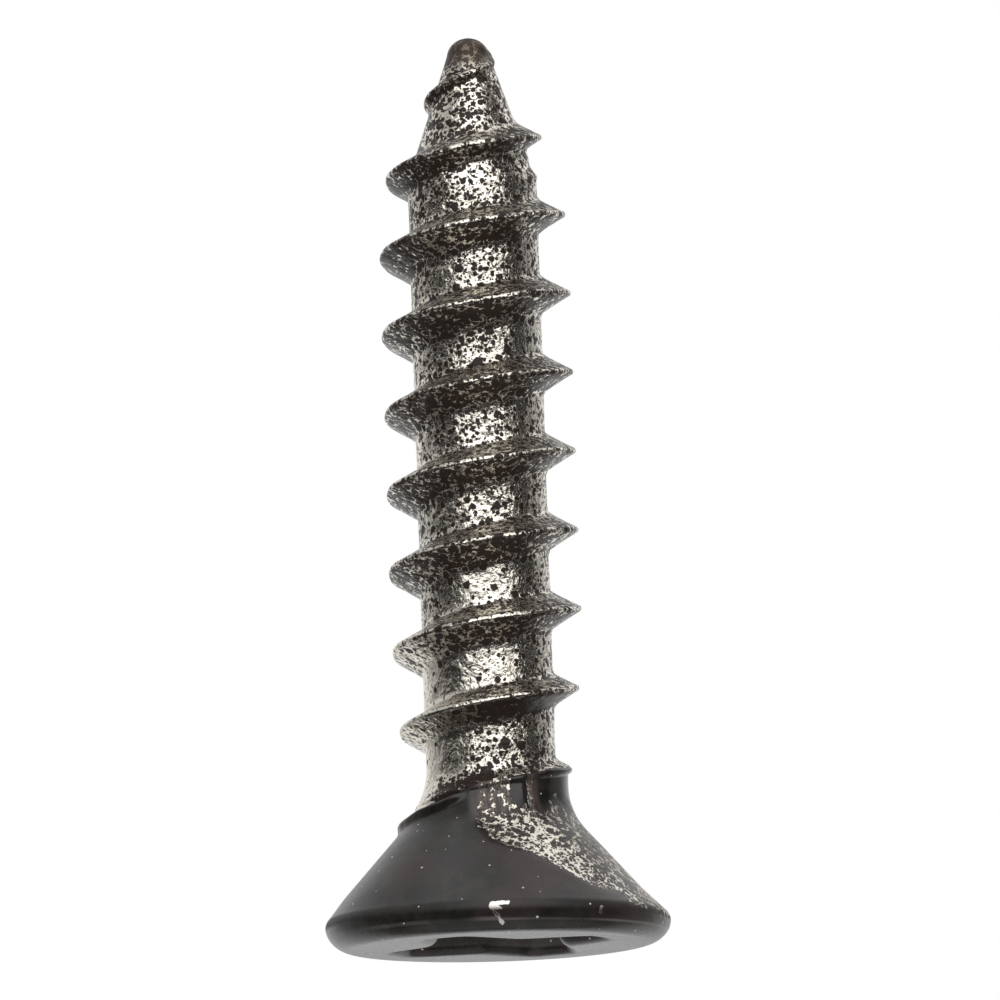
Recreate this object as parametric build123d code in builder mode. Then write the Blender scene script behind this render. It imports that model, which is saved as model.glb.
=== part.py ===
"""A countersunk wood screw, 4.2 x 20, with a cross recess and a lacquered head.

The screw is one piece of cold-headed, thread-rolled steel. A film of black lacquer covers its
head, the walls of its recess and the lower part of its neck, and is a separate solid here.

Frame: millimetres. The screw stands on its head. The middle of the flat, lacquered head face
is the origin, that face lies in z = 0, and the point is at the top, along +Z.
"""

from build123d import *
from math import atan, ceil, cos, degrees, pi, radians, sin, tan
import os

# Overall sizes
LENGTH = 20.0  # from the lacquered head face to the tip of the point
COAT = 0.05  # thickness of the lacquer film

# Head, in bare steel
HEAD_DIAMETER = 7.4
RIM_HEIGHT = 0.52  # from the steel face up to where the countersink cone starts
RIM_ROUND = 0.43  # rounding between the face and the rim
RIM_EDGE_ROUND = 0.08  # rounding between the rim and the cone
COUNTERSINK_ANGLE = 83.8  # included angle of the cone

# Neck between the cone and the thread
NECK_DIAMETER = 3.24
NECK_ROUND = 1.6  # fillet between the cone and the neck
NECK_END = 3.6  # height where the neck starts to narrow
CORE_START = 4.2  # height where it has narrowed to the core

# Core and point
CORE_DIAMETER = 2.82
POINT_SHOULDER = 0.76  # length of the slight cone between the core and the point
POINT_STEP = 0.16  # how much that cone takes off the core's radius
POINT_ANGLE = 38.0  # included angle of the point's own cone
TIP_ROUND = 0.44  # radius of the blunt dome at the tip

# Thread: one start, right-hand
PITCH = 1.74
THREAD_DIAMETER = 4.18
RUN_OUT_HEIGHT = 3.84  # height of the crest where it crosses +X on the neck
RUN_OUT_RISE = 0.09  # how far it stands out of the neck there
CREST_FLAT = 0.11
FLANK_ANGLE_POINT = 28.5  # flank that faces the point, from square to the axis
FLANK_ANGLE_HEAD = 31.0  # flank that faces the head
RISE_TURNS = 1.5  # turns over which the crest grows from the run-out to its full height
FADE_TURNS = 0.75  # turns below the run-out over which the crest sinks into the neck
END_BELOW_TIP = 0.62  # how far below the tip the thread dies away
END_SINK = 0.03  # depth of its crest under the point's surface there
TAPER_RATE = 0.6  # growth of the crest radius for each millimetre below that place
TRACK_STEPS = 24  # points for each turn on the thread's edges
RIDGE_SHARE = 0.45  # depth of the ridge, most of it inside the core, as a share of its crest radius

# Cross recess, in bare steel
RECESS_TURN = -29.0  # turn of the first wing about +Z, from +X
RECESS_DEPTH = 2.1  # from the steel face to where the conical floor starts
RECESS_FLOOR = 0.35  # height of the conical floor
RECESS_WALL = 0.44  # steel left between a wing's end and the cone, at the wall's bottom
RECESS_WING = 1.12  # width of a wing at its end
RECESS_LAND = 1.34  # distance from the axis to the corner between two wings
FLARE = 0.28  # how far the mouth of the recess opens out
FLARE_DEPTH = 0.3
WING_DRAFT = 16.0  # slope of the wings' ends, from the axis
SIDE_DRAFT = 4.0  # slope of the wings' sides
WING_ROUND = 0.22  # rounding of the wings' corners
FLOOR_SHARE = 0.35  # size of the recess at the bottom of its floor, as a share of its start

# Lacquer
LACQUER_GAP = 0.15  # from the thread's run-out down to the edge of the lacquer

HALF_CONE = radians(COUNTERSINK_ANGLE / 2)


def rim_top(grow):
    """Height where the rim meets the cone, on a head grown by this much all round."""
    return COAT + RIM_HEIGHT + grow * (1 / cos(HALF_CONE) - 1) / tan(HALF_CONE)


def cone_top(grow):
    """Height where the cone meets the neck, on a head grown by this much all round."""
    narrowing = (HEAD_DIAMETER - NECK_DIAMETER) / 2
    return rim_top(grow) + narrowing / tan(HALF_CONE)


def head_corners(grow):
    """Corners of the head's half section, from the axis over the face and rim to the neck."""
    rim = HEAD_DIAMETER / 2 + grow
    neck = NECK_DIAMETER / 2 + grow
    return [
        (0, COAT - grow),
        (rim, COAT - grow),
        (rim, rim_top(grow)),
        (neck, cone_top(grow)),
    ]


def head_rounds(grow):
    """Roundings of those corners after the first: an outer one grows and a hollow one shrinks."""
    return [RIM_ROUND + grow, RIM_EDGE_ROUND + grow, NECK_ROUND - grow]


# ---- recess: what the punch takes out of the head ----
def recess_outline(tip, width, land):
    """Corners of a cross with four wings, whose sides spread towards the middle."""
    corners = []
    for quarter in range(4):
        turn = quarter * pi / 2
        for x, y in [(tip, -width / 2), (tip, width / 2), (land * cos(pi / 4),) * 2]:
            corners.append((x * cos(turn) - y * sin(turn), x * sin(turn) + y * cos(turn)))
    return corners


def recess_filling(coat):
    """The solid that fills the recess, less a coat of this thickness on its walls and floor."""
    wall = RECESS_DEPTH - FLARE_DEPTH
    end_in = wall * tan(radians(WING_DRAFT))
    side_in = wall * tan(radians(SIDE_DRAFT))
    cone = HEAD_DIAMETER / 2 - (COAT + RECESS_DEPTH - rim_top(0)) * tan(HALF_CONE)
    tip = cone - RECESS_WALL + end_in
    mouth = (tip + FLARE, RECESS_WING + FLARE, RECESS_LAND + FLARE)
    throat = (tip, RECESS_WING, RECESS_LAND)
    bottom = (tip - end_in, RECESS_WING - 2 * side_in, RECESS_LAND - 2 * side_in)
    floor = tuple(FLOOR_SHARE * size for size in bottom)
    heights = [COAT - FLARE_DEPTH, COAT, COAT + FLARE_DEPTH, COAT + RECESS_DEPTH - coat]
    heights.append(heights[-1] + RECESS_FLOOR)
    rounds = [WING_ROUND] * 4 + [WING_ROUND * FLOOR_SHARE]
    levels = zip(heights, [mouth, mouth, throat, bottom, floor], rounds)
    with BuildPart() as filling:
        for height, (tip, width, land), rounding in levels:
            with BuildSketch(Plane.XY.offset(height).rotated((0, 0, RECESS_TURN))) as level:
                with BuildLine():
                    Polyline(*recess_outline(tip - coat, width - 2 * coat, land - coat), close=True)
                make_face()
                fillet(level.vertices(), rounding)
        loft(ruled=True)
    return filling.part


# ---- point: a slight cone, the point's own cone and a blunt dome ----
CORE = CORE_DIAMETER / 2
POINT_RADIUS = CORE - POINT_STEP
HALF_POINT = radians(POINT_ANGLE / 2)
DOME_RADIUS = TIP_ROUND * cos(HALF_POINT)  # where the dome meets the cone
DOME_HEIGHT = LENGTH - TIP_ROUND + TIP_ROUND * sin(HALF_POINT)
POINT_START = DOME_HEIGHT - (POINT_RADIUS - DOME_RADIUS) / tan(HALF_POINT)
CORE_END = POINT_START - POINT_SHOULDER


# ---- thread: one ridge wound round the core ----
THREAD_END = LENGTH - END_BELOW_TIP


def crest_radius(turn):
    """Radius of the thread's crest this many turns after it crosses +X on the neck."""
    run_out = NECK_DIAMETER / 2 + RUN_OUT_RISE
    if turn < 0:
        return run_out + 2 * RUN_OUT_RISE * turn / FADE_TURNS
    rise = min(turn / RISE_TURNS, 1)
    full = run_out + (THREAD_DIAMETER / 2 - run_out) * rise * rise * (3 - 2 * rise)
    end = DOME_RADIUS + (DOME_HEIGHT - THREAD_END) * tan(HALF_POINT) - END_SINK
    return min(full, end + TAPER_RATE * (THREAD_END - RUN_OUT_HEIGHT - PITCH * turn))


def ridge_section(turn):
    """Axial section of the ridge at this turn: radius, and height above the crest's middle."""
    crest = crest_radius(turn)
    depth = RIDGE_SHARE * crest
    root = crest - depth
    half_flat = CREST_FLAT / 2
    head_side = half_flat + depth * tan(radians(FLANK_ANGLE_HEAD))
    point_side = half_flat + depth * tan(radians(FLANK_ANGLE_POINT))
    return [(root, -head_side), (crest, -half_flat), (crest, half_flat), (root, point_side)]


def ridge_edge(corner, first_turn, last_turn):
    """Points along the helix that one corner of the ridge's section follows."""
    steps = ceil((last_turn - first_turn) * TRACK_STEPS)
    points = []
    for step in range(steps + 1):
        turn = first_turn + (last_turn - first_turn) * step / steps
        radius, height = ridge_section(turn)[corner]
        angle = 2 * pi * turn
        middle = RUN_OUT_HEIGHT + PITCH * turn
        points.append((radius * cos(angle), radius * sin(angle), middle + height))
    return points


def ridge_length(first_turn, last_turn):
    """A length of the ridge as a closed solid: four helical faces and a flat face at each end."""
    edges = []
    for corner in range(4):
        with BuildLine() as edge:
            Spline(*ridge_edge(corner, first_turn, last_turn))
        edges.append(edge.edge())
    sides = [Face.make_surface_from_curves(edges[i], edges[(i + 1) % 4]) for i in range(4)]
    ends = []
    for end in (0, 1):
        with BuildLine() as outline:
            Polyline(*[edge @ end for edge in edges], close=True)
        ends.append(Face(outline.wire()))
    return Solid(Shell(sides + ends))


def thread_ridge():
    """The whole ridge, in lengths of about one turn that meet end to end."""
    last_turn = (THREAD_END - RUN_OUT_HEIGHT) / PITCH
    count = ceil(last_turn + FADE_TURNS)
    span = (last_turn + FADE_TURNS) / count
    starts = [-FADE_TURNS + span * index for index in range(count)]
    return [ridge_length(start, start + span) for start in starts]


RIDGE = thread_ridge()

# ---- screw_body: head, neck, core and point turned in one, with the thread and recess ----
shank_corners = [
    (NECK_DIAMETER / 2, NECK_END),
    (CORE, CORE_START),
    (CORE, CORE_END),
    (POINT_RADIUS, POINT_START),
    (DOME_RADIUS, DOME_HEIGHT),
]
with BuildPart() as screw_body:
    with BuildSketch(Plane.XZ):
        with BuildLine():
            FilletPolyline(*head_corners(0), shank_corners[0], radius=head_rounds(0))
            Polyline(*shank_corners)
            RadiusArc(shank_corners[-1], (0, LENGTH), -TIP_ROUND)
            Line((0, LENGTH), (0, COAT))
        make_face()
    revolve(axis=Axis.Z)
    add(RIDGE)
    add(recess_filling(0), mode=Mode.SUBTRACT)

# ---- head_lacquer: the film over the head, the recess and the lower neck ----
# Its edge follows the thread's run-out across the front, so it lies in a tilted plane.
quarter_rise = PITCH / 4
edge_height = RUN_OUT_HEIGHT - quarter_rise - LACQUER_GAP
edge_tilt = degrees(atan(quarter_rise / (NECK_DIAMETER / 2)))
EDGE_PLANE = Plane((0, 0, edge_height)).rotated((0, -edge_tilt, 0))
with BuildPart() as head_lacquer:
    with BuildSketch(Plane.XZ):
        with BuildLine():
            neck_top = (NECK_DIAMETER / 2 + COAT, CORE_START)
            FilletPolyline(*head_corners(COAT), neck_top, radius=head_rounds(COAT))
            Polyline(neck_top, (0, CORE_START), (0, 0))
        make_face()
    revolve(axis=Axis.Z)
    split(bisect_by=EDGE_PLANE, keep=Keep.BOTTOM)
    add(screw_body.part, mode=Mode.SUBTRACT)
    add(recess_filling(COAT), mode=Mode.SUBTRACT)

os.makedirs("parts", exist_ok=True)
screw_body.part.label = "screw_body"
export_step(screw_body.part, "parts/screw_body.step")
head_lacquer.part.label = "head_lacquer"
export_step(head_lacquer.part, "parts/head_lacquer.step")
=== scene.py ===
"""A countersunk wood screw standing on its lacquered head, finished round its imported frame."""

import math

import bmesh
import bpy
import numpy as np
from mathutils import Matrix, Vector, noise


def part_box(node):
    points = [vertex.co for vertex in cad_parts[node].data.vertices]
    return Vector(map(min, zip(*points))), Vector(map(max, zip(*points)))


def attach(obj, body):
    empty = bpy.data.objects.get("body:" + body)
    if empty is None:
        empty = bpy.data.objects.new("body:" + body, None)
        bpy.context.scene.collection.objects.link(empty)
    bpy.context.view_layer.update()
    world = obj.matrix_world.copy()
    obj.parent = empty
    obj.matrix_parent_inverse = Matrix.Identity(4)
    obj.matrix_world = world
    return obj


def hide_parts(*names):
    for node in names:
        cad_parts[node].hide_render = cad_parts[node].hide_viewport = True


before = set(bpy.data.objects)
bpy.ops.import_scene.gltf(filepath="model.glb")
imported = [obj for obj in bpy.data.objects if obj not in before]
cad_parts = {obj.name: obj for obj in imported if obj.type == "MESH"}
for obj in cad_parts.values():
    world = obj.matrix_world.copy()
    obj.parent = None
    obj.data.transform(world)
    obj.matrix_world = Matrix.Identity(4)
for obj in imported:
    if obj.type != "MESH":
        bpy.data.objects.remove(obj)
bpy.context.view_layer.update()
MM = 0.001


# ======== Screw body ========
# One piece of low-carbon steel wire: the head is cold-formed and its cross recess punched, then
# the thread is rolled between flat dies, which leaves a wavy crest and a folded burr near the
# point. It is bright zinc plated, and drops of lacquer from the head's dipping speckle it.

# Sizes are in mm and heights are above the lacquered face.
body_low, body_high = (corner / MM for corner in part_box("screw_body"))
STEEL_FACE = body_low.z
TIP = body_high.z
STEEL_RIM = body_high.x
COLUMNS = 288
ANGLES = np.arange(COLUMNS) * 2 * math.pi / COLUMNS

# Head, neck, core and point
CONE_HALF_ANGLE = math.radians(41.9)
RIM_TOP = STEEL_FACE + 0.52
RIM_LEAN = math.radians(7)  # the rim narrows a little from its edge towards the face
RIM_FLATTEN = 0.06
FACE_ROUND = 0.48
RIM_EDGE_ROUND = 0.2
HEAD_OFF_CENTRE = 0.055  # the heading die stood this far to +X of the wire
CENTRED_FROM = 1.2  # above this the screw runs true
OFF_CENTRE_FADE = 0.6
NECK_RADIUS = 1.62
NECK_ROUND = 1.6
NECK_FOOT = RIM_TOP + (STEEL_RIM - NECK_RADIUS) / math.tan(CONE_HALF_ANGLE)
CORE_RADIUS = 1.41
STEP_MIDDLE = 3.62  # where the neck narrows to the core
STEP_TILT = 0.3
STEP_SHORTEST = 0.35
STEP_LONGEST = 1.1
CORE_END = TIP - 3.45
POINT_START = TIP - 2.69
POINT_RADIUS = 1.25
TIP_ROUND = 0.44
DOME_START = TIP - 0.3
DOME_RADIUS = 0.43

# Cross recess: how far the tips of its wings reach, half a wing's width, and the land's corner
RECESS_MOUTH = np.array([2.36, 0.56, 1.34])
RECESS_FLARE = np.array([0.28, 0.14, 0.28])  # how much wider it is at the face
RECESS_TAPER = np.array([0.52, 0.126, 0.252])  # how much narrower it is at the floor
RECESS_TURN = math.radians(-29)
LAND_ROUND = 0.09
FLARE_DEPTH = 0.3
WALL_DEPTH = 1.8
FLOOR_RISE = 0.35
FLOOR_TOP = STEEL_FACE + 2.46

# Thread, with its crest's radius after each number of turns from the run-out
PITCH = 1.74
RUN_OUT = 3.84
CREST_HALF = 0.05
HEAD_FLANK = math.tan(math.radians(31))
POINT_FLANK = math.tan(math.radians(28.5))
ROOT_BLEND = 0.05  # rounds the corner between core and flank
BLEND_RISE = ROOT_BLEND**2 / 4 / 0.2  # what that adds where core and flank are 0.2 mm apart
CREST_TURNS = [-0.8, -0.4, 0, 0.5, 1, 1.5, 2, 6.4, 7, 7.5, 8, 8.5, 9, 9.3]
CREST_RADII = [1.55, 1.66, 1.72, 1.97, 1.98, 2.07, 2.09, 2.09, 2.03, 1.9, 1.55, 0.99, 0.56, 0.3]

# Marks that the dies left
CREST_WANDER = 0.016
CREST_WAVES = 0.014
CREST_WORN = 0.01
FLANK_HOLLOW = 0.02
NICK_DEPTH = 0.035
CORE_WAVES = 0.008
BURR_HEIGHT = 16.83
BURR_ANGLE = math.radians(-14)
BURR_RISE = 0.25
BURR_THICKNESS = 0.1


def smooth_step(value):
    """0 below 0, 1 above 1, and an even slope between."""
    value = np.clip(value, 0, 1)
    return value * value * (3 - 2 * value)


def soft_max(first, second, width):
    """The larger of two, with their corner rounded over this width."""
    gap = first - second
    return 0.5 * (first + second + np.sqrt(gap * gap + width * width))


def waves(angle, height, seed, scale, stretch=1.0):
    """Smooth noise over the screw's surface, from -1 to 1, with features of this many mm."""
    x = np.cos(angle) / scale
    y = np.sin(angle) / scale
    points = np.stack([x + 7.1 * seed, y - 3.3 * seed, height / (scale * stretch)], -1)
    flat = points.reshape(-1, 3)
    found = np.fromiter((noise.noise(Vector(point)) for point in flat), float, len(flat))
    return found.reshape(points.shape[:-1])


def blank_radius(angle, height):
    """Radius of the screw without its thread, from the cone to the start of the dome."""
    cone = STEEL_RIM - (height - RIM_TOP) * math.tan(CONE_HALF_ANGLE)
    round_centre = NECK_FOOT + NECK_ROUND * math.tan(CONE_HALF_ANGLE / 2)
    drop = np.clip(round_centre - height, 0, NECK_ROUND)
    fillet = NECK_RADIUS + NECK_ROUND - np.sqrt(NECK_ROUND**2 - drop**2)
    fillet_end = round_centre - NECK_ROUND * math.sin(CONE_HALF_ANGLE)
    neck = np.where(height < fillet_end, cone, fillet)
    # The neck narrows to the core along the thread's run-out, steeply at the front and right.
    step_middle = STEP_MIDDLE + STEP_TILT * np.cos(angle - math.radians(10))
    from_right = (0.5 - 0.5 * np.cos(angle)) ** 2
    step_length = STEP_SHORTEST + (STEP_LONGEST - STEP_SHORTEST) * from_right
    narrowed = smooth_step((height - step_middle) / step_length + 0.5)
    shank = neck - narrowed * (NECK_RADIUS - CORE_RADIUS)
    shoulder = smooth_step((height - CORE_END) / (POINT_START - CORE_END))
    shank = shank - shoulder * (CORE_RADIUS - POINT_RADIUS)
    point_fall = (POINT_RADIUS - DOME_RADIUS) / (DOME_START - POINT_START)
    return shank - np.maximum(height - POINT_START, 0) * point_fall


def burr(angle, height):
    """Height of the flap of metal that the dies folded over, below the thread's last full turn."""
    off_middle = (angle - BURR_ANGLE + math.pi) % (2 * math.pi) - math.pi
    lean = height - BURR_HEIGHT - BURR_RISE * off_middle
    flap = np.exp(-((off_middle / 0.3) ** 2)) * np.exp(-((lean / 0.13) ** 2))
    return BURR_THICKNESS * flap * (1 + 0.5 * waves(angle, height, 5, 0.12))


def screw_radius(angle, height):
    """Radius of the threaded screw at these angles and heights."""
    turn_of_height = (height - RUN_OUT) / PITCH - angle / (2 * math.pi)
    nearest = np.round(turn_of_height)
    turn = nearest + angle / (2 * math.pi)
    wander = CREST_WANDER * waves(angle, turn * 5, 1, 0.5)
    offset = (turn_of_height - nearest) * PITCH + wander
    crest = np.interp(turn, CREST_TURNS, CREST_RADII)
    full = smooth_step((crest - 1.7) / 0.3)  # 1 where the thread has its full height
    crest = crest + full * (CREST_WAVES * waves(angle, turn * 5, 2, 0.35) - CREST_WORN)
    above = np.maximum(offset - CREST_HALF, 0) / POINT_FLANK
    below = np.maximum(-offset - CREST_HALF, 0) / HEAD_FLANK
    # The flanks are a little hollow, and nicks cut into the crest.
    ridge = crest - above - below - FLANK_HOLLOW * (1 - np.exp(-((offset / 0.07) ** 2)))
    nicks = smooth_step((waves(angle, turn * 9, 3, 0.26) - 0.35) / 0.5)
    ridge = np.minimum(ridge, crest - NICK_DEPTH * full * nicks)
    blank = blank_radius(angle, height)
    blank = blank + CORE_WAVES * waves(angle, height, 4, 0.55, 1.6)
    return soft_max(blank, ridge, ROOT_BLEND) - BLEND_RISE + burr(angle, height)


def cross_radius(outline):
    """Distance from the axis to the edge of a cross recess of these sizes, at each angle."""
    tip, half_wing, land = outline
    quarter = math.pi / 2
    from_wing = np.abs((ANGLES - RECESS_TURN + quarter / 2) % quarter - quarter / 2)
    from_land = np.sqrt((quarter / 2 - from_wing) ** 2 + LAND_ROUND**2) - LAND_ROUND / 3
    from_wing = quarter / 2 - from_land
    corner = land * math.cos(quarter / 2)
    end = tip / np.cos(from_wing)
    across, along = half_wing - corner, corner - tip
    side = corner * (across + along) / (across * np.cos(from_wing) + along * np.sin(from_wing))
    return (end**-14.0 + side**-14.0) ** (-1 / 14)


def ring(radius, height):
    """A row of points round the axis, or one row for each row of radii and heights."""
    radius, height, turned = np.broadcast_arrays(radius, height, ANGLES)
    return np.stack([radius * np.cos(turned), radius * np.sin(turned), height], -1)


def screw_rings(heights):
    """Rings of the threaded screw at these heights, one for each point of each row."""
    return ring(screw_radius(np.broadcast_to(ANGLES, heights.shape), heights), heights)


def rim_edge():
    """Radius and height of the middle of the rounding between the cone and the rim."""
    centre = STEEL_RIM - RIM_EDGE_ROUND
    on_cone = centre + RIM_EDGE_ROUND * math.cos(CONE_HALF_ANGLE)
    height = RIM_TOP + (STEEL_RIM - on_cone) / math.tan(CONE_HALF_ANGLE)
    return centre, height - RIM_EDGE_ROUND * math.sin(CONE_HALF_ANGLE)


def cone_foot():
    """Height where the straight side of the cone ends in the rim's rounding."""
    return rim_edge()[1] + RIM_EDGE_ROUND * math.sin(CONE_HALF_ANGLE)


def head_rings(rim_rows):
    """Rings from the top of the rim, over the face, down the recess to its floor's middle."""
    rings = []
    centre, middle = rim_edge()
    for step in range(rim_rows):
        rise = CONE_HALF_ANGLE - (CONE_HALF_ANGLE + RIM_LEAN) * step / rim_rows
        radius = centre + RIM_EDGE_ROUND * math.cos(rise)
        rings.append(ring(radius, middle + RIM_EDGE_ROUND * math.sin(rise)))
    # Below its edge the rim leans in and then rounds into the face.
    lean_radius = centre + RIM_EDGE_ROUND * math.cos(RIM_LEAN)
    lean_height = middle - RIM_EDGE_ROUND * math.sin(RIM_LEAN)
    drop = lean_height - STEEL_FACE
    face_edge = STEEL_RIM - FACE_ROUND
    for step in range(3 * rim_rows + 1):
        fall = math.pi / 2 * step / (3 * rim_rows)
        radius = face_edge + (lean_radius - face_edge) * math.cos(fall)
        radius -= (lean_radius - face_edge) * RIM_FLATTEN * math.sin(2 * fall)
        rings.append(ring(radius, lean_height - drop * math.sin(fall)))
    mouth = cross_radius(RECESS_MOUTH + RECESS_FLARE)
    for share in np.arange(1, 7) / 7:
        rings.append(ring(face_edge + share * (mouth - face_edge), STEEL_FACE))
    for fall in math.pi / 2 * np.arange(9) / 8:
        outline = cross_radius(RECESS_MOUTH + RECESS_FLARE * (1 - math.sin(fall)))
        rings.append(ring(outline, STEEL_FACE + FLARE_DEPTH * (1 - math.cos(fall))))
    for depth in np.arange(1, 11) / 10:
        outline = cross_radius(RECESS_MOUTH - RECESS_TAPER * depth)
        rings.append(ring(outline, STEEL_FACE + FLARE_DEPTH + WALL_DEPTH * depth))
    floor_edge = cross_radius(RECESS_MOUTH - RECESS_TAPER)
    floor_height = STEEL_FACE + FLARE_DEPTH + WALL_DEPTH
    for share in 1 - np.arange(1, 9) / 9:
        rings.append(ring(floor_edge * share, floor_height + FLOOR_RISE * (1 - share**2)))
    return np.array(rings)


def surface_mesh(name, points, faces):
    """A smooth-shaded mesh object from points in mm, with its head set off centre."""
    struck = np.array(points)
    struck[:, 0] += HEAD_OFF_CENTRE * smooth_step((CENTRED_FROM - struck[:, 2]) / OFF_CENTRE_FADE)
    mesh = bpy.data.meshes.new(name)
    mesh.from_pydata((struck * MM).tolist(), [], faces)
    mesh.validate()
    built = bpy.data.objects.new(name, mesh)
    bpy.context.scene.collection.objects.link(built)
    mesh.polygons.foreach_set("use_smooth", [True] * len(mesh.polygons))
    return built


def turn_outward(built, join_points):
    """Turns the faces of a closed surface outward, and joins the points that lie together."""
    shell = bmesh.new()
    shell.from_mesh(built.data)
    if join_points:
        bmesh.ops.remove_doubles(shell, verts=shell.verts, dist=2e-6)
        bmesh.ops.dissolve_degenerate(shell, edges=shell.edges, dist=1e-7)
    bmesh.ops.recalc_face_normals(shell, faces=shell.faces)
    shell.to_mesh(built.data)
    shell.free()


def grid_faces(rows, first=0):
    """Quads between rows of points that each close on themselves."""
    faces = []
    for low in range(first, first + (rows - 1) * COLUMNS, COLUMNS):
        high = low + COLUMNS
        for column in range(COLUMNS):
            right = (column + 1) % COLUMNS
            faces.append((low + column, low + right, high + right, high + column))
    return faces


def fan_faces(row_start, apex, up):
    """Triangles from a row of points to one apex."""
    faces = []
    for column in range(COLUMNS):
        right = (column + 1) % COLUMNS
        pair = (row_start + column, row_start + right)
        faces.append((*pair, apex) if up else (*pair[::-1], apex))
    return faces


HELIX_LOW = 2.4  # the rows that follow the thread stop here, on the cone, in a level ring
HELIX_HIGH = TIP - 0.4
TURN_ROWS = 22
DOME_ROWS = 12
CONE_ROWS = 16
STEEL_RIM_ROWS = 3


def shank_rows():
    """Heights of the rows that follow the thread, cut off level at both ends of the shank."""
    across = np.arange(TURN_ROWS) / TURN_ROWS * 2 - 1
    offsets = PITCH / 2 * np.sign(across) * np.abs(across) ** 1.6
    first = math.floor((HELIX_LOW - RUN_OUT) / PITCH) - 1
    last = math.ceil((HELIX_HIGH - RUN_OUT) / PITCH) + 1
    starts = RUN_OUT + PITCH * np.arange(first, last)
    heights = (starts[:, None] + offsets[None, :]).reshape(-1, 1)
    heights = heights + PITCH * ANGLES / (2 * math.pi)
    return np.clip(heights, HELIX_LOW, HELIX_HIGH)


def shank_faces(rows):
    """Quads between rows that follow the thread: each meets the one a turn later."""
    faces = []
    for low in range(0, (rows - 1) * COLUMNS, COLUMNS):
        high = low + COLUMNS
        for column in range(COLUMNS - 1):
            faces.append((low + column, low + column + 1, high + column + 1, high + column))
        joined = low + TURN_ROWS * COLUMNS
        if joined + COLUMNS < rows * COLUMNS:
            faces.append((low + COLUMNS - 1, joined, joined + COLUMNS, high + COLUMNS - 1))
    return faces


def dome_rings():
    """Rings over the point, in which the last of the thread fades out."""
    rings = []
    centre = TIP - TIP_ROUND
    first_rise = math.asin((HELIX_HIGH - centre) / TIP_ROUND)
    foot = screw_radius(ANGLES, np.full(COLUMNS, HELIX_HIGH))
    for step in range(DOME_ROWS):
        rise = first_rise + (math.pi / 2 - first_rise) * step / DOME_ROWS
        shape = math.cos(rise) / math.cos(first_rise)
        evened = foot + (foot.mean() - foot) * smooth_step(step / 5)
        rings.append(ring(evened * shape, centre + TIP_ROUND * math.sin(rise)))
    return np.array(rings)


def cone_rings():
    """Rings from the shank's lowest row down the cone to its foot."""
    heights = HELIX_LOW + (cone_foot() - HELIX_LOW) * np.arange(CONE_ROWS) / CONE_ROWS
    return screw_rings(np.repeat(heights[:, None], COLUMNS, axis=1))


def build_body():
    """The whole steel screw as one closed surface."""
    shank = screw_rings(shank_rows())
    dome = dome_rings()
    head = np.concatenate([cone_rings(), head_rings(STEEL_RIM_ROWS)])
    dome_first = len(shank) * COLUMNS
    dome_apex = dome_first + len(dome) * COLUMNS
    head_first = dome_apex + 1
    head_apex = head_first + len(head) * COLUMNS
    faces = shank_faces(len(shank)) + grid_faces(len(dome), dome_first)
    faces += fan_faces(dome_apex - COLUMNS, dome_apex, True)
    faces += [quad[::-1] for quad in grid_faces(len(head), head_first)]
    faces += fan_faces(head_apex - COLUMNS, head_apex, False)
    points = [shank.reshape(-1, 3), dome.reshape(-1, 3), [[0, 0, TIP]]]
    points += [head.reshape(-1, 3), [[0, 0, FLOOR_TOP]]]
    built = surface_mesh("screw_body_steel", np.concatenate(points), faces)
    turn_outward(built, True)
    return built


class Finish:
    """A value in a material's node tree: arithmetic on it adds Math nodes."""

    def __init__(self, tree, socket=None):
        self.tree = tree
        self.socket = socket

    def node(self, kind, settings=None, inputs=None, output=0):
        """Adds a node, sets it up, gives its sockets values or links, and returns one output."""
        made = self.tree.nodes.new(kind)
        for setting, value in (settings or {}).items():
            setattr(made, setting, value)
        for name, value in (inputs or {}).items():
            if isinstance(value, Finish):
                self.tree.links.new(value.socket, made.inputs[name])
            else:
                made.inputs[name].default_value = value
        return Finish(self.tree, made.outputs[output]) if made.outputs else None

    def math(self, operation, first, second=0.0, clamped=False):
        settings = {"operation": operation, "use_clamp": clamped}
        return self.node("ShaderNodeMath", settings, {0: first, 1: second})

    def __add__(self, other):
        return self.math("ADD", self, other)

    __radd__ = __add__

    def __sub__(self, other):
        return self.math("SUBTRACT", self, other)

    def __rsub__(self, other):
        return self.math("SUBTRACT", other, self)

    def __mul__(self, other):
        return self.math("MULTIPLY", self, other)

    __rmul__ = __mul__

    def __truediv__(self, other):
        return self.math("DIVIDE", self, other)

    def __lt__(self, other):
        return self.math("LESS_THAN", self, other)

    def or_more(self, other):
        """The larger of this value and another."""
        return self.math("MAXIMUM", self, other)

    def root(self):
        return self.math("SQRT", self)

    def clamp(self):
        return self.math("ADD", self, 0.0, True)

    def step(self, start, end):
        """0 up to start, 1 past end, with an even slope between. The ends may be in either order."""
        settings = {"interpolation_type": "SMOOTHSTEP", "clamp": True}
        return self.node("ShaderNodeMapRange", settings, {0: self, 1: start, 2: end, 3: 0.0, 4: 1.0})

    def blend(self, under, over):
        """A colour mixed from two by this value."""
        settings = {"data_type": "RGBA", "blend_type": "MIX"}
        return self.node("ShaderNodeMix", settings, {0: self, 6: under, 7: over}, 2)


def mark(built, name, values):
    """Keeps one number for each point of a mesh, for its material to read."""
    layer = built.data.attributes.new(name, "FLOAT", "POINT")
    layer.data.foreach_set("value", np.asarray(values, float))


def marked(start, name):
    """The number that the mesh keeps under this name."""
    return start.node("ShaderNodeAttribute", {"attribute_name": name}, {}, 2)


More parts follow.
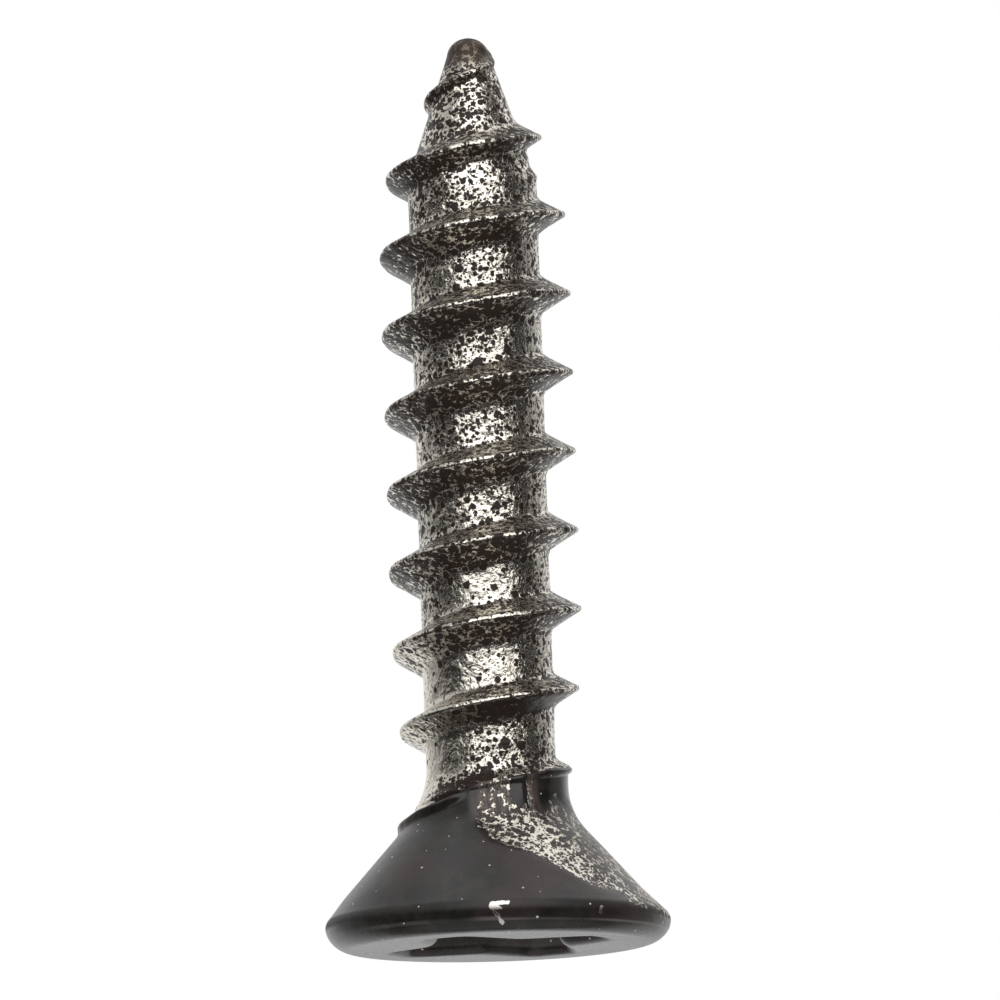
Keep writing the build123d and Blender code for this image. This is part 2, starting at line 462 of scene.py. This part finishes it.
def mottle(start, place, scale, detail=3.0):
    """Soft noise from 0 to 1, with about this many features in each unit of the place."""
    return start.node("ShaderNodeTexNoise", {}, {"Vector": place, "Scale": scale, "Detail": detail})


def axes(start, place):
    """The three parts of a place or a direction."""
    return [start.node("ShaderNodeSeparateXYZ", {}, {0: place}, axis) for axis in range(3)]


def places(built):
    """Angle in degrees from +X, distance from the axis and height of each point, in mm."""
    flat = np.zeros(len(built.data.vertices) * 3)
    built.data.vertices.foreach_get("co", flat)
    x, y, z = flat.reshape(-1, 3).T / MM
    return np.degrees(np.arctan2(y, x)), np.hypot(x, y), z


def facings(built):
    """The upward part of each point's normal: 1 where the surface faces the point of the screw."""
    flat = np.zeros(len(built.data.vertices) * 3)
    built.data.vertex_normals.foreach_get("vector", flat)
    return flat[2::3]


def new_material(name):
    """A material, the value its nodes are added through, and the place of each spot on it."""
    material = bpy.data.materials.new(name)
    material.use_nodes = True
    material.node_tree.nodes.clear()
    start = Finish(material.node_tree)
    return material, start, start.node("ShaderNodeTexCoord", {}, {}, 3)


def finish_surface(start, inputs, bump):
    """Ends a material in a Principled shader with this bump."""
    height, strength, depth = bump
    raised = {"Strength": strength, "Distance": depth, "Height": height}
    inputs["Normal"] = start.node("ShaderNodeBump", {}, raised)
    shader = start.node("ShaderNodeBsdfPrincipled", {}, inputs)
    start.node("ShaderNodeOutputMaterial", {}, {"Surface": shader})


def drops(start, place, spacing, reach, edge):
    """Drops about as far apart as spacing, in mm, and this large as a share of it.

    Returns 1 inside a drop and 0 between them, and the drop's domed height.
    """
    cells = {"Vector": place, "Scale": 1 / (spacing * MM), "Randomness": 1.0}
    near = start.node("ShaderNodeTexVoronoi", {"feature": "F1"}, cells, 0)
    pick = start.node("ShaderNodeTexVoronoi", {"feature": "F1"}, cells, 1)
    pick = start.node("ShaderNodeSeparateColor", {}, {0: pick}, 0)
    inside = reach * (0.45 + 0.55 * pick) - near
    return inside.step(0.0, edge), inside.step(-0.05, 0.3)


def shaken(start, place, scale, amount):
    """A place moved about by noise, within this many mm, which makes round drops uneven."""
    shake = start.node("ShaderNodeTexNoise", {}, {"Vector": place, "Scale": scale, "Detail": 2.0}, 1)
    centred = start.node("ShaderNodeVectorMath", {"operation": "SUBTRACT"}, {0: shake, 1: (0.5,) * 3})
    settings = {"operation": "MULTIPLY_ADD"}
    return start.node("ShaderNodeVectorMath", settings, {0: centred, 1: (amount * MM,) * 3, 2: place})


ZINC = (0.865, 0.82, 0.725, 1)
TARNISHED_ZINC = (0.46, 0.41, 0.33, 1)
DULLED_ZINC = (0.17, 0.135, 0.1, 1)
LACQUER_DROP = (0.029, 0.0205, 0.017, 1)
BUMP_DEPTH = 0.02 * MM
DULL_FROM = TIP - 0.85


def speckled_metal(start, place, density, dull):
    """Zinc plating under lacquer drops: colour, roughness, metallic and height of the surface."""
    cloud = mottle(start, place, 800.0)
    grain = mottle(start, place, 8000.0)
    lumps = mottle(start, place, 2400.0, 1.0)
    uneven = shaken(start, place, 9000.0, 0.1)
    patch = ((cloud - 0.5) * 0.5 + (lumps - 0.5) * 0.22 + density).or_more(0.0)
    large, large_dome = drops(start, uneven, 0.33, patch * 0.15 + 0.24, 0.04)
    middle, middle_dome = drops(start, uneven, 0.13, patch * 0.80, 0.09)
    small, small_dome = drops(start, uneven, 0.07, patch * 0.76, 0.12)
    covered = 1 - (1 - large) * (1 - middle) * (1 - small)
    covered = covered * (1 - 0.2 * dull)
    tarnish = (cloud.step(0.45, 0.75) * 0.35 + grain.step(0.5, 0.8) * 0.5).clamp()
    metal = tarnish.blend(ZINC, TARNISHED_ZINC)
    metal = (dull * (0.4 + 1.1 * lumps)).clamp().blend(metal, DULLED_ZINC)
    colour = covered.blend(metal, LACQUER_DROP)
    roughness = 0.12 + 0.1 * cloud + 0.12 * grain + dull * 0.15
    dome = large_dome.or_more(middle_dome.or_more(small_dome * 0.6))
    height = dome * 0.4 + grain * 2.15 + lumps * 3.2
    return colour, roughness, 1 - covered, height


def plated_steel():
    """Bright zinc plating, dulled on the point, under drops and specks of dark lacquer."""
    material, start, place = new_material("plated_steel")
    density, dull = marked(start, "overspray_and_shade"), marked(start, "dull")
    colour, roughness, metallic, height = speckled_metal(start, place, density, dull)
    surface = {"Base Color": colour, "Roughness": roughness, "Metallic": metallic}
    surface["Specular IOR Level"] = 0.18
    finish_surface(start, surface, (height, 0.65, BUMP_DEPTH))
    return material


def near_angle(angle, middle, half_width, fade):
    """1 on a stretch round the screw, in degrees, and 0 beyond half its width from its middle."""
    return smooth_step((half_width - np.abs(angle - middle)) / fade)


def overspray_and_shade(angle, height, facing_head):
    """How thickly the drops lie, at angles in degrees, where the surface faces the head this much;
    the extra drops on the undersides are partly painted shade.
    """
    flank = np.maximum(facing_head, 0)
    # The drops thin out down the left side, and lie thickest on the flanks that face the head, partly
    # as overspray from the head and partly as painted shade on the undersides.
    left = near_angle(angle, -165, 70, 40) + smooth_step((angle - 150) / 20)
    bare_side = np.minimum(left, 1) * smooth_step((8.5 - height) / 3.5)
    thick = 0.73 + 0.42 * flank * (1 - bare_side) - (0.4 - 0.34 * flank) * bare_side
    thick += 0.14 * np.maximum(-facing_head, 0)
    # The front of the core is barer on the first turns.
    bare_front = smooth_step((9 - height) / 1.5) * smooth_step(height - 4.6)
    bare_front = bare_front * near_angle(angle, -92, 40, 20)
    thick -= 0.22 * bare_front * (np.abs(facing_head) < 0.3)
    # They run together beside the lacquer's edge and under the first turn.
    by_the_lacquer = smooth_step((3.8 - height) / 0.4) * near_angle(angle, -116, 34, 14)
    first_turn = smooth_step((6.6 - height) / 0.5) * smooth_step((flank - 0.35) / 0.2)
    thick += 0.75 * by_the_lacquer + 0.6 * first_turn * near_angle(angle, -60, 42, 15)
    # There are a few more towards the point, most of all on the left.
    thick += 0.15 * smooth_step((np.abs(angle) - 110) / 40) * smooth_step((height - 13.5) / 2)
    thick += 0.02 * smooth_step((height - 9.5) / 3) + 0.03 * smooth_step((height - 15.5) / 1.5)
    return thick


screw_body = build_body()
angle, radius, height = places(screw_body)
# The drops' density holds painted shade on the flanks that face the head, along with the real
# overspray.
mark(screw_body, "overspray_and_shade", overspray_and_shade(angle, height, -facings(screw_body)))
mark(screw_body, "dull", smooth_step((height - DULL_FROM) / 0.35))
screw_body.data.materials.append(plated_steel())
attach(screw_body, "root")
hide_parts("screw_body")


# ======== Head lacquer ========
# A film of black lacquer, about 0.05 mm thick, that the head was dipped in after plating. It
# pooled into a bead along its edge on one side, stopped against the thread's run-out on the
# other, and has worn through to the plating on part of the cone and chipped at the rim.

COAT = STEEL_FACE  # the film's thickness, which is how far up the steel's face is
CONE_FILM_ROWS = 64
FILM_RIM_ROWS = 6
LAST_WORN_ROW = 20  # of the head's rings, on the rim's rounding into the face
BEAD_ANGLE = -160
BEAD_HALF = 52
BEAD_HEIGHT = 0.13
PATCH_ANGLES = (-108, -50)  # the thin patch on the front of the neck
PATCH_HEIGHTS = (2.45, 3.65)
STRIP_ANGLE = -70  # the glossy strip in the middle of the patch
STRIP_HALF = 8
WORN_LINES = (-79, -62)  # the bright lines along the strip's sides
RIM_FRONT = -2.5
CHIPS = [  # start and end across the rim's front, in mm, and half the width
    ((-0.12, 0.56), (0.2, 0.58), 0.055),
    ((-0.13, 0.5), (-0.02, 0.49), 0.07),
    ((-0.1, 0.44), (0.08, 0.16), 0.04),
    ((0.04, 0.46), (0.06, 0.45), 0.035),
    ((2.17, 0.38), (2.2, 0.5), 0.035),
]
# Angles are in degrees from +X. The edge's height, and where the worn band starts and ends
EDGE_ANGLES = [-180, -160, -140, -124, -114, -100, -84, -60, -30, 0, 40, 90, 140, 180]
EDGE_HEIGHTS = [2.7, 2.86, 2.98, 3.1, 3.25, 3.38, 3.47, 3.6, 3.76, 3.88, 3.9, 3.5, 2.9, 2.7]
WORN_HEIGHTS = [0.85, 1.1, 1.35, 1.76, 2.04, 2.5, 3.0]
WORN_FROM = [-47, -53, -60, -74, -89, -98, -106]
WORN_TO = [-40, -42, -46, -52, -57, -57, -57]


def coat_edge():
    """Height of the lacquer's ragged edge at each angle."""
    degrees = (np.degrees(ANGLES) + 180) % 360 - 180
    even = np.interp(degrees, EDGE_ANGLES, EDGE_HEIGHTS)
    return even + 0.035 * waves(ANGLES, even, 6, 0.3) + 0.012 * waves(ANGLES, even, 7, 0.14)


def bead(degrees):
    """How much of a bead the lacquer has along its edge: all of it on the left."""
    from_middle = np.abs((degrees - BEAD_ANGLE + 180) % 360 - 180)
    return smooth_step((BEAD_HALF - from_middle) / 16)


def neck_patch(degrees, height):
    """How thin the lacquer is on the front of the neck."""
    left, right = PATCH_ANGLES
    low, high = PATCH_HEIGHTS
    sides = smooth_step((degrees - left) / 12) * smooth_step((right - degrees) / 12)
    return sides * smooth_step((height - low) / 0.4) * smooth_step((high - height) / 0.2)


def worn(degrees, height):
    """How far the lacquer has worn away, from 0 to 1: most in a band down the cone."""
    start = np.interp(height, WORN_HEIGHTS, WORN_FROM)
    end = np.interp(height, WORN_HEIGHTS, WORN_TO)
    band = smooth_step((degrees - start + 5) / 9) * smooth_step((end - degrees + 14) / 16)
    band = band * smooth_step((height - 0.72) / 0.3) * smooth_step((3.0 - height) / 0.5)
    # Less of it has worn to the right of the band, and a little more of that low down.
    right = smooth_step((degrees - end + 6) / 12) * smooth_step((80 - degrees) / 40)
    right = right * smooth_step((height - 0.25) / 0.4) * smooth_step((3.5 - height) / 0.9)
    low_right = smooth_step((degrees + 34) / 26) * smooth_step((2.0 - height) / 0.8)
    # On the neck, a glossy strip between two worn lines has stayed whole.
    strip = near_angle(degrees, STRIP_ANGLE, STRIP_HALF, 5) * smooth_step((height - 2.75) / 0.5)
    from_line = np.min([np.abs(degrees - line) for line in WORN_LINES], axis=0)
    lines = np.exp(-((from_line / 0.9) ** 2)) * smooth_step((height - 2.9) / 0.4)
    found = [
        (0.64 + 0.14 * smooth_step((height - 1.6) / 0.5)) * band,
        (0.48 + 0.22 * low_right) * right,
        0.44 * neck_patch(degrees, height) * (1 - strip),
        0.5 * lines,
    ]
    return np.max(found, axis=0)


def film_thickness(degrees, height, below_edge):
    """Thickness of the unworn film: nothing at its edge, then the bead, then even."""
    lip = bead(degrees) * np.exp(-(((below_edge - 0.12) / 0.1) ** 2))
    lip = lip * (1 + 0.25 * waves(np.radians(degrees), height, 8, 0.4))
    return COAT * smooth_step(below_edge / 0.06) + BEAD_HEIGHT * lip * smooth_step(below_edge / 0.03)


def build_lacquer():
    """The film as one closed shell, whose inner surface is the steel's outer surface."""
    edge = coat_edge()
    # The rows on the cone lie closer together towards the edge.
    share = np.linspace(0, 1, CONE_FILM_ROWS)[:-1, None] ** 1.25
    upper = screw_rings(edge - (edge - cone_foot()) * share)
    steel = np.concatenate([upper, head_rings(FILM_RIM_ROWS)])
    along = np.gradient(steel, axis=0)
    around = np.roll(steel, -1, axis=1) - np.roll(steel, 1, axis=1)
    outward = np.cross(along, around)
    outward /= np.maximum(np.linalg.norm(outward, axis=-1, keepdims=True), 1e-12)
    degrees = np.degrees(np.broadcast_to(ANGLES, steel.shape[:2]))
    degrees = (degrees + 180) % 360 - 180
    row = np.arange(len(steel))[:, None]
    far_below = 9
    below_edge = np.where(row < len(upper), np.maximum(edge - steel[..., 2], 0), far_below)
    thick = film_thickness(degrees, steel[..., 2], below_edge)
    thick = thick * (1 - worn(degrees, steel[..., 2]) * (row < len(upper) + LAST_WORN_ROW))
    thick[0] = 0
    lacquer = steel + outward * thick[..., None]
    # From the middle of the recess out over the film to its edge, and back along the steel
    rows = np.concatenate([lacquer[:0:-1], steel])
    points = np.concatenate([rows.reshape(-1, 3), [[0, 0, FLOOR_TOP - COAT], [0, 0, FLOOR_TOP]]])
    size = len(rows) * COLUMNS
    faces = grid_faces(len(rows)) + fan_faces(0, size, False)
    faces += fan_faces(size - COLUMNS, size + 1, True)
    built = surface_mesh("head_lacquer_film", points, faces)
    turn_outward(built, False)
    return built


def stroke(x, z, start, end, half_width):
    """How far inside a short stroke each place is, in mm: the stroke runs across the rim's front."""
    length = math.dist(start, end)
    way_x, way_z = (end[0] - start[0]) / length, (end[1] - start[1]) / length
    off_x, off_z = x - start[0], z - start[1]
    along = (off_x * way_x + off_z * way_z).or_more(0.0)
    along = along.math("MINIMUM", along, length)
    gap_x, gap_z = off_x - along * way_x, off_z - along * way_z
    return half_width - (gap_x * gap_x + gap_z * gap_z).root()


FILM_DARK = (0.012, 0.0122, 0.011, 1)
FILM_WARM = (0.027, 0.0165, 0.0165, 1)
FILM_PALE = (0.038, 0.029, 0.0275, 1)
FILM_THIN = (0.11, 0.082, 0.073, 1)
FILM_DUST_AND_BOUNCE_LIGHT = (0.17, 0.16, 0.15, 1)
PIT = (0.005, 0.004, 0.004, 1)
DUST = (0.62, 0.60, 0.56, 1)
CHIPPED_BARE = (0.88, 0.86, 0.80, 1)


def black_lacquer():
    """Satin brown-black lacquer with dust and pits, worn through to the speckled plating, and paler
    in the recess with dust and painted bounce light.
    """
    material, start, place = new_material("black_lacquer")
    wear, thin, dim = marked(start, "wear"), marked(start, "thin"), marked(start, "dim")
    gloss, pitted, recess = marked(start, "gloss"), marked(start, "pitted"), marked(start, "recess")
    broad = mottle(start, place, 450.0)
    cloud = mottle(start, place, 2600.0, 4.0)
    patchy = mottle(start, place, 6500.0)
    grain = mottle(start, place, 9000.0, 5.0)
    x, y, z = (part / MM for part in axes(start, place))
    x = x - HEAD_OFF_CENTRE
    # Streaks that run straight up the cone
    reach = (x * x + y * y).root()
    along_cone = start.node("ShaderNodeCombineXYZ", {}, {0: x / reach, 1: y / reach, 2: z * 0.12})
    streak = mottle(start, along_cone, 16.0, 4.0)
    # Plating that shows through where the film has worn, and in the chips
    metal, metal_rough, metallic, metal_height = speckled_metal(start, place, 0.84, dim * 0.5)
    uneven = (patchy - 0.5) * 1.3 + (grain - 0.5) * 0.9 + (streak - 0.5)
    bare = (wear + uneven - 0.42).step(0.0, 0.12) * wear.step(0.02, 0.2)
    strokes = [stroke(x, z, *chip) for chip in CHIPS]
    inside = strokes[0]
    for other in strokes[1:]:
        inside = inside.or_more(other)
    chipped_off = (inside + (grain - 0.5) * 0.09).step(0.0, 0.012) * (y < RIM_FRONT)
    # The film, its dust and its pits, and a paler film in the recess that is partly dust and partly
    # painted bounce light
    dust, dust_dome = drops(start, place, 0.3, broad.step(0.2, 0.45) * 0.1, 0.015)
    pit_reach = cloud.step(0.48, 0.66) * (0.2 + 0.6 * pitted)
    pits, pit_dome = drops(start, place, 0.17, pit_reach, 0.06)
    film = broad.step(0.4, 0.62).blend(FILM_DARK, FILM_WARM)
    film = (cloud.step(0.4, 0.7) * 0.55).blend(film, FILM_PALE)
    film = (thin * streak.step(0.25, 0.6)).blend(film, FILM_THIN)
    # Paler in the recess: partly dust, partly painted bounce light.
    film = (recess * broad.step(0.3, 0.7) * 0.7).blend(film, FILM_DUST_AND_BOUNCE_LIGHT)
    film = pits.blend(film, PIT)
    film = dust.blend(film, DUST)
    colour = bare.blend(film, metal)
    colour = chipped_off.blend(colour, CHIPPED_BARE)
    # The rounding at the top of the rim is less glossy.
    on_rim = z.step(0.4, 0.5) * z.step(0.7, 0.62)
    film_rough = 0.27 + 0.08 * (broad - 0.5) + 0.14 * (grain - 0.5) - 0.16 * gloss + 0.24 * on_rim
    roughness = film_rough * (1 - bare) + metal_rough * bare
    metallic = (metallic * bare).or_more(chipped_off)
    film_height = cloud * 0.5 * (1 - gloss * 0.8) + grain * 0.25 + dust_dome * 0.6 - pit_dome * 0.35
    height = film_height * (1 - bare) + (metal_height - 0.4) * bare
    surface = {"Base Color": colour, "Roughness": roughness, "Metallic": metallic}
    surface["Specular IOR Level"] = 0.45
    finish_surface(start, surface, (height, 0.45, BUMP_DEPTH))
    return material


def mark_lacquer(built):
    """Keeps where the film is worn, thin, dim, in the recess, pitted and glossy."""
    angle, radius, height = places(built)
    # The recess's points lie well inside the head, above its face and below its floor's top.
    in_recess = (height > STEEL_FACE + 0.15) & (height < FLOOR_TOP + 0.04)
    in_recess = in_recess & (radius < blank_radius(0, height) - 0.3)
    mark(built, "wear", worn(angle, height) * (1 - in_recess))
    thin = neck_patch(angle, height) * smooth_step((np.abs(angle - STRIP_ANGLE) - 6) / 2)
    mark(built, "thin", thin)
    past_band = smooth_step((angle - np.interp(height, WORN_HEIGHTS, WORN_TO) - 2) / 12)
    past_band = past_band * smooth_step(-angle / 25 + smooth_step((height - 1.9) / 0.4))
    mark(built, "dim", np.maximum(past_band, 0.45 * neck_patch(angle, height)))
    # The recess mask lays both dust and painted bounce light in the recess.
    mark(built, "recess", in_recess)
    mark(built, "pitted", smooth_step((-150 - angle) / 25) * smooth_step((height - 0.5) / 0.3))
    glossy = smooth_step((height - 2.9) / 0.3) * smooth_step((angle + 105) / 15)
    mark(built, "gloss", glossy * (1 - 0.8 * thin))


head_lacquer = build_lacquer()
mark_lacquer(head_lacquer)
head_lacquer.data.materials.append(black_lacquer())
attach(head_lacquer, "root")
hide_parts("head_lacquer")


# ======== Stage ========
# A sheet of pale card on a table, in a small studio. The screw is held up over it, because it is
# looked at from a little below. The lights are patches of the sky that shade the screw and
# reflect in it, while the sky behind it looks plain white.

FLOOR_HEIGHT = -30 * MM
FLOOR_REACH = 1000 * MM
CARD_DARK = (0.76, 0.76, 0.75, 1)
CARD_PALE = (0.84, 0.84, 0.83, 1)

floor_mesh = bpy.data.meshes.new("floor")
corners = [(-1, -1), (1, -1), (1, 1), (-1, 1)]
corners = [(x * FLOOR_REACH, y * FLOOR_REACH, FLOOR_HEIGHT) for x, y in corners]
floor_mesh.from_pydata(corners, [], [(0, 1, 2, 3)])
floor = bpy.data.objects.new("floor", floor_mesh)
bpy.context.scene.collection.objects.link(floor)
floor.visible_glossy = False
card, start, place = new_material("floor_card")
fibre = mottle(start, place, 4000.0)
surface = {"Base Color": fibre.blend(CARD_DARK, CARD_PALE), "Roughness": 0.85}
finish_surface(start, surface, (fibre, 0.1, BUMP_DEPTH))
floor_mesh.materials.append(card)

world = bpy.data.worlds.new("studio")
bpy.context.scene.world = world
world.use_nodes = True
world.node_tree.nodes.clear()
sky = Finish(world.node_tree)
seen = sky.node("ShaderNodeLightPath", {}, {}, 0)
east, north, up = axes(sky, sky.node("ShaderNodeTexCoord", {}, {}, 0))
# Radians round from the front, plus towards +X, and up from level
azimuth = sky.math("ARCTAN2", east, north * -1)
rise_of = sky.math("ARCSINE", up)
# A softbox in front, above the camera, and on over the top
overhead = rise_of.step(1.0, 1.2)
lower = 1 - overhead
softbox = azimuth.step(-0.72, -0.6) * azimuth.step(0.95, 0.83) * rise_of.step(0.05, 0.13) * lower
# A strip light high at the back on the right
strip = azimuth.step(1.75, 1.95) * azimuth.step(2.95, 2.7) * rise_of.step(0.3, 0.5) * lower
# White paper behind, that curves down and forward under the screw
to_side = sky.math("ABSOLUTE", azimuth)
paper = 0.34 * to_side.step(1.6, 1.9) + 0.54 * to_side.step(2.1, 2.6)
paper = paper * rise_of.step(-0.87, -0.7) * (0.2 + 0.8 * rise_of.step(0.6, 0.15)) * lower
# The pale table straight below
table = rise_of.step(-0.85, -1.15)
# A dim wall high at the back on the left
wall = azimuth.step(-2.98, -2.75) * azimuth.step(-0.7, -1.3) * rise_of.step(0.2, 0.42) * lower
light = 0.02 + 1.75 * softbox + 1.1 * overhead + 0.8 * strip + paper + 0.5 * table + 0.5 * wall
# What the camera sees straight is plain white.
shine = {"Color": (1, 1, 1, 1), "Strength": seen + (1 - seen) * light}
sky.node("ShaderNodeOutputWorld", {}, {"Surface": sky.node("ShaderNodeBackground", {}, shine)})


# ======== Camera ========
# A long lens in front of the screw and a little below its middle, so that it looks slightly up
# and the head's face is seen at a grazing angle. It is rolled a little, so that the screw leans.

LENS = 352.4
DISTANCE = 213.1 * MM
LOOK_UP = math.radians(8.304)
ROLL = math.radians(-1.868)
AIM_OFF = Vector((0.38446, 0, -0.03766)) * MM

camera_data = bpy.data.cameras.new("camera")
camera = bpy.data.objects.new("camera", camera_data)
bpy.context.scene.collection.objects.link(camera)
camera_data.sensor_width = 36
camera_data.lens = LENS
camera_data.clip_start = 0.01
camera_data.clip_end = 5
middle = Vector((0, 0, 0.49 * TIP * MM))
camera.location = middle - DISTANCE * Vector((0, math.cos(LOOK_UP), math.sin(LOOK_UP)))
look = (middle + AIM_OFF - camera.location).normalized()
turned = look.to_track_quat("-Z", "Y").to_matrix() @ Matrix.Rotation(ROLL, 3, "Z")
camera.rotation_mode = "QUATERNION"
camera.rotation_quaternion = turned.to_quaternion()
bpy.context.scene.camera = camera
bpy.context.scene.view_settings.view_transform = "Standard"
